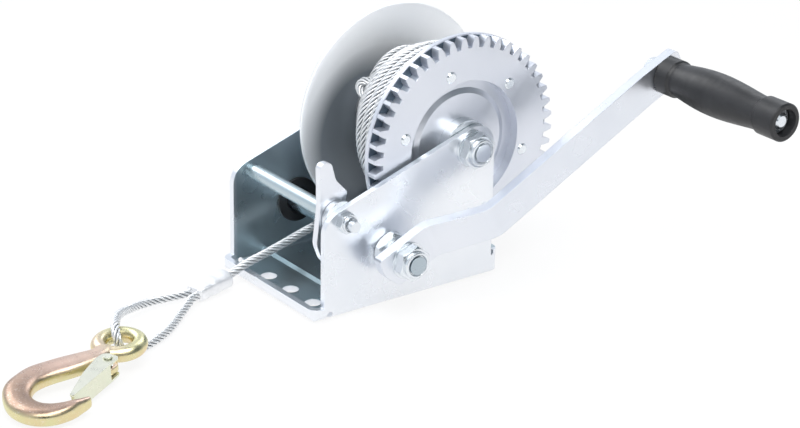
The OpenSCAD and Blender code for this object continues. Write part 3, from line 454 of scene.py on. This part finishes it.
def zinc(name, dark, light, rough_low, rough_high, edge=0.0004, metallic=0.93, painted_shade=None,
         centre=AXLE, back=None, channel_shade=False):
    """Bright zinc plate with a satin tone, fine grain and faint specks.

    A painted shade lies about a centre on faces that look right, back is a darker tone painted as shade on
    faces that look left, and a painted shade deepens the tone between the side plates.
    """
    s = Shade(name)
    tone = s.ramp(s.noise(16, 2), [(0.3, dark), (0.7, light)])
    grain = s.noise(300, 2, 0.6, s.stretched((1.0, 0.2, 1.0)))
    speck = s.noise(1500, 2)
    wear_and_painted_shade = s.mix(tone, tuple(0.86 * c for c in dark), s.span(speck, 0.0, 0.2, 0.62, 0.8))
    # Painted shade: a darker tone about a centre on faces that look right, for the tooth gaps and the rope's
    # shadow on the dish
    if painted_shade:
        reach = s.reach_from(centre)
        depth, start, full, last, clear = painted_shade
        shade_mask = s.times(s.span(reach, 0.0, depth, start, full), s.span(reach, 1.0, 0.0, last, clear))
        shade_mask = s.times(shade_mask, s.span(s.normal_part(0), 0.0, 1.0, 0.0, 0.3))
        wear_and_painted_shade = s.mix(wear_and_painted_shade, PAINTED_SHADE_TONE, shade_mask)
    # Painted shade: back darkens the faces that look left
    if back:
        wear_and_painted_shade = s.mix(wear_and_painted_shade, back, s.span(s.normal_part(0), 1.0, 0.0, -0.3, 0.0))
    # Painted shade between the side plates
    if channel_shade:
        wear_and_painted_shade = s.mix(wear_and_painted_shade, CHANNEL_SHADE_TONE, s.in_channel())
    rough = s.span(s.noise(60, 2), rough_low, rough_high)
    s.bump((s.noise(18, 1), 0.02, 0.0010), (grain, 0.05, 0.0002), (speck, 0.05, 0.00005), edge=edge)
    return s.finish(wear_and_painted_shade, rough, metallic)


def materials():
    """One procedural finish for each kind of surface on the winch."""
    mats = {}
    mats["zinc_sheet"] = zinc("zinc_sheet", (0.78, 0.81, 0.87), (0.86, 0.88, 0.93), 0.26, 0.32)
    # Frame and tie tube with painted shade between the side plates
    mats["channel_shaded_zinc"] = zinc("channel_shaded_zinc", (0.83, 0.86, 0.91), (0.92, 0.94, 0.975), 0.26, 0.32,
                                channel_shade=True)
    mats["zinc_disc"] = zinc("zinc_disc", (0.71, 0.74, 0.81), (0.79, 0.81, 0.87), 0.28, 0.36,
                             metallic=0.8)
    mats["zinc_parts"] = zinc("zinc_parts", (0.76, 0.80, 0.84), (0.88, 0.91, 0.94), 0.18, 0.26,
                              0.0003, 0.9)
    # Right flange with painted shade in the tooth gaps
    mats["tooth_shaded_zinc"] = zinc("tooth_shaded_zinc", (0.71, 0.74, 0.81), (0.79, 0.81, 0.87), 0.28, 0.36,
                                metallic=0.8, painted_shade=TOOTH_GAP_SHADE)
    # The dish is painted far paler than the other zinc on its faces that look right, as painted light, with
    # a painted shadow of the rope pack and painted shade on faces that look left
    mats["dish_lit_and_shaded_zinc"] = zinc("dish_lit_and_shaded_zinc", (0.92, 0.93, 0.95), (0.97, 0.975, 0.98), 0.30, 0.38,
                             metallic=0.25, painted_shade=DISH_ROPE_SHADOW, centre=DISH_ROPE_SHADOW_CENTRE,
                             back=DISH_BACK_SHADE_TONE)
    mats["pinion_steel"] = zinc("pinion_steel", (0.40, 0.47, 0.52), (0.55, 0.62, 0.67), 0.24, 0.34,
                                0.0002, 1.0)

    mats["rope_steel"] = rope_steel()
    mats["pressed_aluminium"] = pressed_aluminium()
    mats["yellow_zinc"] = yellow_zinc("yellow_zinc", 0.0)
    mats["pale_yellow_zinc"] = yellow_zinc("pale_yellow_zinc", 0.75)
    mats["black_plastic"] = black_plastic()
    mats["grip_black"] = grip_black()
    return mats


def rope_steel():
    """Bright wire, with fine lines across each strand and painted shade in the valleys between them."""
    s = Shade("rope_steel")
    wires = s.nodes.new("ShaderNodeTexWave")
    wires.bands_direction = "DIAGONAL"
    wires.inputs["Scale"].default_value = 60
    s.link(s.coords.outputs["UV"], wires.inputs["Vector"])
    tone = s.ramp(s.noise(420, 3), [(0.3, (0.76, 0.78, 0.80)), (0.7, (0.93, 0.93, 0.93))])
    # Painted shade in the valleys between the strands
    tone = s.mix(tone, (0.24, 0.26, 0.28), s.span(s.strand_edge(), 0.0, 0.85, 0.55, 0.95))
    s.bump((wires.outputs["Fac"], 0.12, 0.00006), (s.noise(3200, 2), 0.1, 0.00006))
    return s.finish(tone, s.span(s.noise(600, 2), 0.3, 0.42), 0.75)


def pressed_aluminium():
    """Pale satin metal with faint lines across the sleeve."""
    s = Shade("pressed_aluminium")
    tone = s.ramp(s.noise(160, 3), [(0.3, (0.90, 0.90, 0.92)), (0.7, (0.97, 0.97, 0.98))])
    lines = s.noise(700, 2, 0.5, s.stretched((0.25, 1.0, 1.0)))
    s.bump((lines, 0.12, 0.00010), (s.noise(2400, 2), 0.1, 0.00005))
    return s.finish(tone, s.span(s.noise(300, 2), 0.42, 0.52), 0.7)


def black_plastic():
    """Moulded bushes with a fine grain."""
    s = Shade("black_plastic")
    tone = s.ramp(s.noise(120, 3), [(0.3, (0.010, 0.011, 0.012)), (0.7, (0.026, 0.027, 0.029))])
    s.bump((s.noise(2200, 2), 0.12, 0.00008), edge=0.0004)
    return s.finish(tone, s.span(s.noise(300, 2), 0.28, 0.42))


def grip_black():
    """The grip's black plastic, softer and coarser than the bushes'."""
    s = Shade("grip_black")
    tone = s.ramp(s.noise(90, 3), [(0.3, (0.012, 0.012, 0.013)), (0.7, (0.022, 0.022, 0.024))])
    s.bump((s.noise(1500, 3), 0.16, 0.00010), edge=0.0006)
    return s.finish(tone, s.span(s.noise(260, 3), 0.34, 0.46))


def yellow_zinc(name, pale):
    """Yellow chromate over zinc: green-gold at the eye, pink-gold on the shank, brown in the bowl."""
    s = Shade(name)
    place = s.nodes.new("ShaderNodeSeparateXYZ")
    s.link(s.coords.outputs["Object"], place.inputs[0])
    along = s.span(place.outputs[1], 1.0, 0.0, -0.19, -0.1)
    tops = s.ramp(along, [(0.12, (0.74, 0.70, 0.42)), (0.3, (0.78, 0.59, 0.48)), (0.55, (0.71, 0.51, 0.42)),
                          (0.85, (0.42, 0.29, 0.22))])
    sides = s.ramp(s.noise(70, 2), [(0.35, (0.80, 0.64, 0.38)), (0.65, (0.76, 0.72, 0.40))])
    slope = s.span(s.normal_part(2), 0.0, 1.0, 0.2, 0.9)
    tone = s.mix(sides, tops, slope)
    tone = s.mix(tone, (0.80, 0.86, 0.74), pale)
    speck = s.noise(1100, 2)
    tone = s.mix(tone, (0.95, 0.90, 0.84), s.span(speck, 0.0, 0.5, 0.58, 0.76))
    s.bump((s.noise(60, 2), 0.08, 0.0008), (s.noise(700, 3), 0.14, 0.00015), edge=0.0003)
    return s.finish(tone, s.span(s.noise(200, 3), 0.24, 0.38), 1.0)


# Pieces
def ease(u):
    """Share from nought to one that starts and ends gently."""
    return u * u * (3 - 2 * u)


def wind_point(turn, slim=0.0, shift=0.0):
    """Middle of the rope on the drum at a turn, below zero on the turn that leads off the drum."""
    angle = math.radians(WIND_START_ANGLE + 360 * turn)
    if turn < 0:
        share = ease(max(0, min(1, (-turn - DIVE_FROM) / (DIVE_TO - DIVE_FROM))))
        radius = WIND_START_R + (LIVE_R - WIND_START_R) * share
        x = WIND_START_X - LIVE_RUN * (1 - (1 + turn) ** 2)
    else:
        x = (WIND_START_X + SLOPE_STEP * turn if turn < SLOPE_TURNS
             else BULGE_X + WIND_PITCH * (turn - SLOPE_TURNS))
        bulge = BULGE_H * (0.5 + 0.5 * math.cos(angle - math.radians(BULGE_ANGLE))) ** 2
        radius = min(WIND_R, WIND_START_R + SLOPE_RISE * (x - WIND_START_X) + bulge)
    return about_axle(x + shift, radius - slim, angle)


def about_axle(x, radius, angle):
    """Point at a radius and an angle about the drum's axle."""
    return AXLE + Vector((x, radius * math.cos(angle), radius * math.sin(angle)))


def rings_about_axle(profile, sides):
    """Circles of points about the drum's axle for a profile of radii and places."""
    return [[about_axle(x, r, 2 * math.pi * k / sides) for k in range(sides)] for r, x in profile]


def dress_winding(mats):
    """Outer layer of rope, the layer that shows between its turns, and the drum's core under both."""
    steps = 96
    turns = SLOPE_TURNS + LEVEL_TURNS
    outer = [wind_point(i / steps) for i in range(-steps, int(turns * steps))]
    winding = rope("rope_turns", outer, 0.0016, 5)
    loop = smooth_line([about_axle(x, r, math.radians(a)) for x, r, a in LOOSE_LOOP], 8)
    winding = join("rope_turns", winding, rope("loose_loop", loop, 0.001, 5))
    dress(winding, "drum_body", mats["rope_steel"], "rope_steel", "rope_winding")

    inner = [wind_point(i / steps, UNDER_DEPTH, UNDER_SHIFT)
             for i in range(int(turns * steps) - steps // 2)]
    under = rope("rope_under", inner, 0.0032, 3)
    low_r = WIND_START_R - CORE_DEPTH
    high_r = WIND_R - CORE_DEPTH
    profile = [(DRUM_R, CORE_LEFT_X), (low_r, CORE_LEFT_X), (low_r, WIND_START_X),
               (high_r, LEVEL_X + 0.0006), (high_r, CORE_RIGHT_X), (DRUM_R, CORE_RIGHT_X)]
    core = skin("rope_core_form", rings_about_axle(profile, 72))
    under = join("rope_under", under, core)
    dress(under, "drum_body", mats["rope_steel"], "rope_steel", "rope_core")


def dish(mats):
    """Left flange pressed to a soft dish, without the crease of its solid."""
    rise = LEFT_RIM_X - DISH_FLAT_X
    steps = 16
    face = [(DISH_BORE_R + 0.001 * k, DISH_FLAT_X) for k in range(0, steps, 3)]
    face += [(DISH_SLOPE_R + DISH_SLOPE_RUN * k / steps, DISH_FLAT_X + rise * ease(k / steps))
             for k in range(1, steps + 1)]
    face += [(DISH_R - 0.0031, LEFT_RIM_X)]
    back = [(r, x - DISH_THICK) for r, x in reversed(face)]
    rim = [(DISH_R - 0.0008, LEFT_RIM_X), (DISH_R - 0.0002, LEFT_RIM_X - 0.0004),
           (DISH_R, LEFT_RIM_X - 0.0011), (DISH_R, LEFT_RIM_X - 0.0014),
           (DISH_R - 0.0003, LEFT_RIM_X - 0.0022)]
    obj = skin("left_dish", rings_about_axle(face + rim + back, 160), closed=True)
    sharpen(obj, 40)
    dress(obj, "drum_body", mats["dish_lit_and_shaded_zinc"], "zinc_sheet", "left_flange")


def nut(name, mats, body, node, form, stud_r, angle):
    """Self-locking nut along X: chamfered flats, a rolled collar and the groove round the stud."""
    flats, height, collar = form
    centre = middle(node)
    x0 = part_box(node)[0].x
    sides = 72
    chamfer = flats / 2 * (1 / math.cos(math.pi / 6) - 1) * math.tan(math.pi / 6)
    collar_r = 0.43 * flats
    lip = 0.0007
    groove_r = stud_r + 0.0006
    x1 = x0 + height
    x2 = x1 + collar
    stations = [(x0 + chamfer * k / 4, None) for k in range(5)]
    stations += [(x1 - chamfer * (4 - k) / 4, None) for k in range(5)]
    stations += [(x1, collar_r), (x2 - lip, collar_r), (x2 - lip * 0.3, collar_r - lip * 0.3),
                 (x2, collar_r - lip), (x2, groove_r + 0.0003), (x2 - 0.0003, groove_r),
                 (x2 - 0.0014, groove_r), (x2 - 0.0014, stud_r - 0.0001)]
    rings = []
    for x, fixed in stations:
        depth = min(x - x0, x1 - x)
        limit = flats / 2 + max(0.0, depth) / math.tan(math.pi / 6)
        ring = []
        for k in range(sides):
            a = 2 * math.pi * k / sides
            corner = flats / 2 / math.cos(a % (math.pi / 3) - math.pi / 6)
            r = fixed or min(corner, limit)
            turn = a + math.radians(angle)
            ring.append(Vector((x, centre.y + r * math.cos(turn), centre.z + r * math.sin(turn))))
        rings.append(ring)
    obj = skin(name, rings, caps=False)
    sharpen(obj, 28)
    dress(obj, body, mats["zinc_parts"], "zinc_parts", node)


def sharpen(obj, degrees):
    """Keeps the edges sharp where the faces meet at a steeper angle."""
    with bpy.context.temp_override(active_object=obj, selected_editable_objects=[obj], object=obj):
        bpy.ops.object.shade_smooth_by_angle(angle=math.radians(degrees))


def dress(obj, body, mat, slot, *nodes):
    """Gives a piece its finish and body, and hides the CAD nodes that it stands for."""
    obj.data.materials.clear()
    obj.data.materials.append(mat)
    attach(obj, body)
    if nodes:
        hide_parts(*nodes)


def ferrule(mats):
    """Pressed sleeve that holds both ropes, with soft ends and two shallow press bands."""
    run = FERRULE_TO - FERRULE_FROM
    ahead = run.normalized()
    across = Vector((0, 0, 1)).cross(ahead).normalized()
    up = ahead.cross(across)
    length = run.length
    half = [(0, 0.80), (0.0006, 0.93), (0.0016, 1.0), (0.0066, 1.0), (0.0076, 0.965), (0.0096, 0.965),
            (0.0106, 1.0)]
    stations = half + [(length - place, size) for place, size in reversed(half)]
    sides = 40
    corner = 0.62
    rings = []
    for place, size in stations:
        ring = []
        for k in range(sides):
            a = 2 * math.pi * k / sides
            c, s = math.cos(a), math.sin(a)
            w = math.copysign(abs(c) ** corner, c) * FERRULE_HALF_WIDTH * size
            h = math.copysign(abs(s) ** corner, s) * FERRULE_HALF_HEIGHT * size
            ring.append(FERRULE_FROM + ahead * place + across * w + up * h)
        rings.append(ring)
    sleeve = skin("ferrule_sleeve", rings)
    mark_ends(sleeve, len(rings), sides)
    dress(sleeve, "frame_body", mats["pressed_aluminium"], "pressed_aluminium", "ferrule")
    return sleeve


def mark_ends(obj, count, sides):
    """The edges round both ends stay sharp."""
    mesh = obj.data
    sharp = mesh.attributes.new("sharp_edge", "BOOLEAN", "EDGE")
    for edge in mesh.edges:
        a, b = sorted(edge.vertices)
        sharp.data[edge.index].value = a // sides == b // sides and a // sides in (0, count - 1)


# Hook in its own millimetres, eye at the origin: middle line of the bar and its width
HOOK_LINE = [
    (-1, -9, 11), (-1.4, -16, 11), (-5.5, -24, 13.5), (-10, -31.5, 15), (-13.8, -38, 15), (-17.2, -45, 15.5),
    (-18.4, -52, 14.5), (-17.4, -60, 15), (-12.5, -67.8, 14), (-5.6, -73, 14.2), (2.6, -74.5, 14),
    (9.8, -71.8, 12.5), (14.8, -66, 9), (17.5, -59.8, 5.4), (18.9, -55.5, 4), (19.5, -52.8, 2.8)]
HOOK_HALF_THICK = 4.5
HOOK_EYE_R = 10.2
HOOK_EYE_BAR_R = 4.2
# Ear that carries the latch: its outline about its own middle, and its two faces
EAR_MIDDLE = (8, -21)
EAR_OUTLINE = [(-11, 5), (-3, 8.5), (1.9, 5.1), (3.2, 3.8), (3.4, 2.9), (3.4, -1.2), (2.8, -2.4),
               (0.8, -3.2), (-6, -3.5), (-13, -6)]
EAR_FACES = (-3.6, 0.2)
HOOK_PLACE = (Matrix.Translation((0.0266, -0.1114, 0.0105)) @ Matrix.Rotation(math.radians(25.2), 4, "Z")
              @ Matrix.Rotation(math.radians(4), 4, "X"))


def hook(mats):
    """Forged hook: round eye, rounded bowl and the ear that carries the latch."""
    line = smooth_line(HOOK_LINE, 4)
    sides = 28
    corner = 0.75
    rings = []
    for i, point in enumerate(line):
        ahead = (line[min(i + 1, len(line) - 1)] - line[max(i - 1, 0)]).xy.normalized()
        across = Vector((-ahead.y, ahead.x))
        w = point.z / 2
        h = min(HOOK_HALF_THICK, w * 1.1 + 1.2)
        ring = []
        for k in range(sides):
            c, s = math.cos(2 * math.pi * k / sides), math.sin(2 * math.pi * k / sides)
            u = math.copysign(abs(c) ** corner, c) * w
            ring.append(Vector((point.x + across.x * u, point.y + across.y * u,
                                math.copysign(abs(s) ** corner, s) * h)) * MM)
        rings.append(ring)
    body = skin("hook_bar", rings)
    eye_rings = []
    stations = 64
    bar_sides = 24
    for i in range(stations):
        a = 2 * math.pi * i / stations
        out = Vector((math.cos(a), math.sin(a), 0))
        eye_rings.append([(out * (HOOK_EYE_R + HOOK_EYE_BAR_R * math.cos(2 * math.pi * k / bar_sides))
                           + Vector((0, 0, HOOK_EYE_BAR_R * math.sin(2 * math.pi * k / bar_sides)))) * MM
                          for k in range(bar_sides)])
    eye = skin("hook_eye", eye_rings, closed=True)
    ear_rings = [[Vector((EAR_MIDDLE[0] + x, EAR_MIDDLE[1] + y, z)) * MM for x, y in EAR_OUTLINE]
                 for z in EAR_FACES]
    ear = skin("hook_ear", ear_rings, smooth=False)
    whole = join("hook_forging", body, eye, ear)
    melt = whole.modifiers.new("melt", "REMESH")
    melt.mode = "VOXEL"
    melt.voxel_size = 0.00055
    soft = whole.modifiers.new("soft", "SMOOTH")
    soft.iterations = 5
    soft.factor = 0.5
    apply_modifiers(whole)
    whole.data.polygons.foreach_set("use_smooth", [True] * len(whole.data.polygons))
    whole.data.transform(HOOK_PLACE)
    dress(whole, "frame_body", mats["yellow_zinc"], "yellow_zinc", "hook")
    return whole


def fasteners(mats):
    """The three self-locking nuts, each round the stud end that it sits on."""
    for name, body, node, form, stud_r, angle in (
            ("axle_lock_nut", "frame_body", "axle_nut", LARGE_NUT, LARGE_STUD_R, 12),
            ("crank_lock_nut", "crank_body", "crank_nut", LARGE_NUT, LARGE_STUD_R, 20),
            ("tie_lock_nut", "frame_body", "tie_nut", SMALL_NUT, SMALL_STUD_R, 8)):
        nut(name, mats, body, node, form, stud_r, angle)


def apply_modifiers(obj):
    """Bakes an object's modifiers into its mesh."""
    graph = bpy.context.evaluated_depsgraph_get()
    mesh = bpy.data.meshes.new_from_object(obj.evaluated_get(graph))
    obj.modifiers.clear()
    obj.data = mesh


def cords(mats):
    """The two free stretches of wire rope."""
    step = 0.0007
    lead_line = even_line(smooth_line(LEAD_ROUTE, 8), step)
    lead = rope("rope_lead_laid", lead_line, step)
    dress(lead, "frame_body", mats["rope_steel"], "rope_steel", "rope_lead")
    eye_line = even_line(smooth_line(EYE_ROUTE, 8), step)
    eye = rope("rope_eye_laid", eye_line, step)
    dress(eye, "frame_body", mats["rope_steel"], "rope_steel", "rope_eye")


# Finishes of the CAD nodes
FINISH = {
    "channel_shaded_zinc": ["frame", "tie_tube"],
    "zinc_sheet": ["crank_arm", "pawl"],
    "zinc_disc": ["left_flange", "gear_ring"],
    "tooth_shaded_zinc": ["right_flange"],
    "zinc_parts": [
        "axle_bolt", "axle_sleeve", "axle_washers", "axle_nut", "tie_bolt", "tie_washer", "pawl_bush",
        "tie_nut", "drum_tube", "gear_rivets", "left_hub", "right_hub", "rope_clamp", "clamp_screws",
        "jam_nut", "inner_washer", "outer_washer", "crank_nut", "grip_pin", "grip_pin_nut", "grip_washer",
        "latch_spring"],
    "pinion_steel": ["pinion_shaft", "pinion"],
    "black_plastic": ["left_bush", "right_bush"],
    "grip_black": ["grip"],
    "pale_yellow_zinc": ["latch", "latch_pin"],
}


def finish_nodes(mats):
    """Gives each CAD node its finish, in every slot that it has."""
    for name, nodes in FINISH.items():
        for node in nodes:
            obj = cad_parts[node]
            if not obj.material_slots:
                obj.data.materials.append(mats[name])
            for slot in obj.material_slots:
                slot.material = mats[name]


# Studio
def joined(s, operation, a, b):
    """Sum or product of two values, kept between nought and one."""
    node = s.nodes.new("ShaderNodeMath")
    node.operation = operation
    node.use_clamp = True
    for value, socket in ((a, node.inputs[0]), (b, node.inputs[1])):
        if isinstance(value, float):
            socket.default_value = value
        else:
            s.link(value, socket)
    return node.outputs[0]


def floor():
    """Pale floor that stays white in view and keeps the shadow; reflections see it white but for a painted
    shadow behind the winch.
    """
    s = Shade("floor_white")
    tone = s.ramp(s.noise(3, 2), [(0.3, (0.92, 0.92, 0.92)), (0.7, (0.94, 0.94, 0.94))])
    s.finish(tone, 0.9)
    path = s.nodes.new("ShaderNodeLightPath")
    # Painted shadow behind the winch, seen only by reflections
    from_floor_shadow = s.nodes.new("ShaderNodeVectorMath")
    from_floor_shadow.operation = "DISTANCE"
    from_floor_shadow.inputs[1].default_value = FLOOR_SHADOW_PLACE
    s.link(s.coords.outputs["Object"], from_floor_shadow.inputs[0])
    floor_shadow = s.times(s.span(from_floor_shadow.outputs["Value"], 1.0, 0.0, FLOOR_SHADOW_R, FLOOR_SHADOW_FADE_R),
                   path.outputs["Is Glossy Ray"])
    glow = s.nodes.new("ShaderNodeEmission")
    s.link(s.mix((1.0, 1.0, 1.0), FLOOR_SHADOW_TONE, floor_shadow), glow.inputs["Color"])
    seen = joined(s, "ADD", path.outputs["Is Camera Ray"], path.outputs["Is Glossy Ray"])
    seen = joined(s, "ADD", seen, path.outputs["Is Transmission Ray"])
    blend = s.nodes.new("ShaderNodeMixShader")
    s.link(joined(s, "MULTIPLY", seen, FLOOR_GLOW), blend.inputs["Fac"])
    s.link(s.bsdf.outputs[0], blend.inputs[1])
    s.link(glow.outputs[0], blend.inputs[2])
    s.link(blend.outputs[0], s.nodes["Material Output"].inputs["Surface"])

    mesh = bpy.data.meshes.new("floor")
    corners = [(-1, -1), (1, -1), (1, 1), (-1, 1)]
    mesh.from_pydata([(x * FLOOR_REACH, y * FLOOR_REACH, FLOOR_Z) for x, y in corners], [], [(0, 1, 2, 3)])
    mesh.materials.append(s.mat)
    obj = bpy.data.objects.new("floor", mesh)
    bpy.context.scene.collection.objects.link(obj)


def surroundings():
    """White to the camera, and a soft fall from bright to dark for the metal to reflect."""
    world = bpy.data.worlds.new("studio")
    world.use_nodes = True
    nodes, links = world.node_tree.nodes, world.node_tree.links
    coords = nodes.new("ShaderNodeTexCoord")
    turn = nodes.new("ShaderNodeVectorMath")
    turn.operation = "DOT_PRODUCT"
    turn.inputs[1].default_value = SKY_DARK_AHEAD.normalized()
    links.new(coords.outputs["Generated"], turn.inputs[0])
    ramp = nodes.new("ShaderNodeValToRGB")
    for element, place, colour in zip(ramp.color_ramp.elements, (0.2, 0.75), (SKY_BRIGHT, SKY_DARK)):
        element.position = place
        element.color = colour
    links.new(turn.outputs["Value"], ramp.inputs["Fac"])
    path = nodes.new("ShaderNodeLightPath")
    pick = nodes.new("ShaderNodeMix")
    pick.data_type = "RGBA"
    pick.inputs[7].default_value = (1, 1, 1, 1)
    links.new(path.outputs["Is Camera Ray"], pick.inputs[0])
    links.new(ramp.outputs["Color"], pick.inputs[6])
    links.new(pick.outputs[2], nodes["Background"].inputs["Color"])
    bpy.context.scene.world = world


def lamps():
    """Soft square lamps that all face the winch."""
    for name, place, size, power in LAMPS:
        data = bpy.data.lights.new(name, "AREA")
        data.energy = power
        data.size = size
        lamp = bpy.data.objects.new(name, data)
        lamp.location = place
        lamp.rotation_euler = (LAMP_AIM - Vector(place)).to_track_quat("-Z", "Y").to_euler()
        bpy.context.scene.collection.objects.link(lamp)


def camera():
    """The photograph's viewpoint: a long lens from the front right, a little above."""
    yaw, pitch, roll = (math.radians(a) for a in CAMERA_ANGLES)
    ahead = Vector((-math.sin(yaw) * math.cos(pitch), math.cos(yaw) * math.cos(pitch), math.sin(pitch)))
    level = Vector((math.cos(yaw), math.sin(yaw), 0))
    top = level.cross(ahead)
    right = level * math.cos(roll) + top * math.sin(roll)
    up = top * math.cos(roll) - level * math.sin(roll)
    data = bpy.data.cameras.new("photo_camera")
    data.sensor_fit = "HORIZONTAL"
    data.sensor_width = CAMERA_SENSOR
    data.lens = CAMERA_LENS
    data.clip_start = 0.05
    data.clip_end = 30
    obj = bpy.data.objects.new("photo_camera", data)
    turn = Matrix((right, up, -ahead)).transposed().to_4x4()
    obj.matrix_world = Matrix.Translation(CAMERA_PLACE) @ turn
    bpy.context.scene.collection.objects.link(obj)
    bpy.context.scene.camera = obj


mats = materials()
camera()
floor()
surroundings()
lamps()
bpy.context.scene.view_settings.view_transform = "Standard"
finish_nodes(mats)
sleeve = ferrule(mats)
forging = hook(mats)
cords(mats)
dress_winding(mats)
dish(mats)
fasteners(mats)
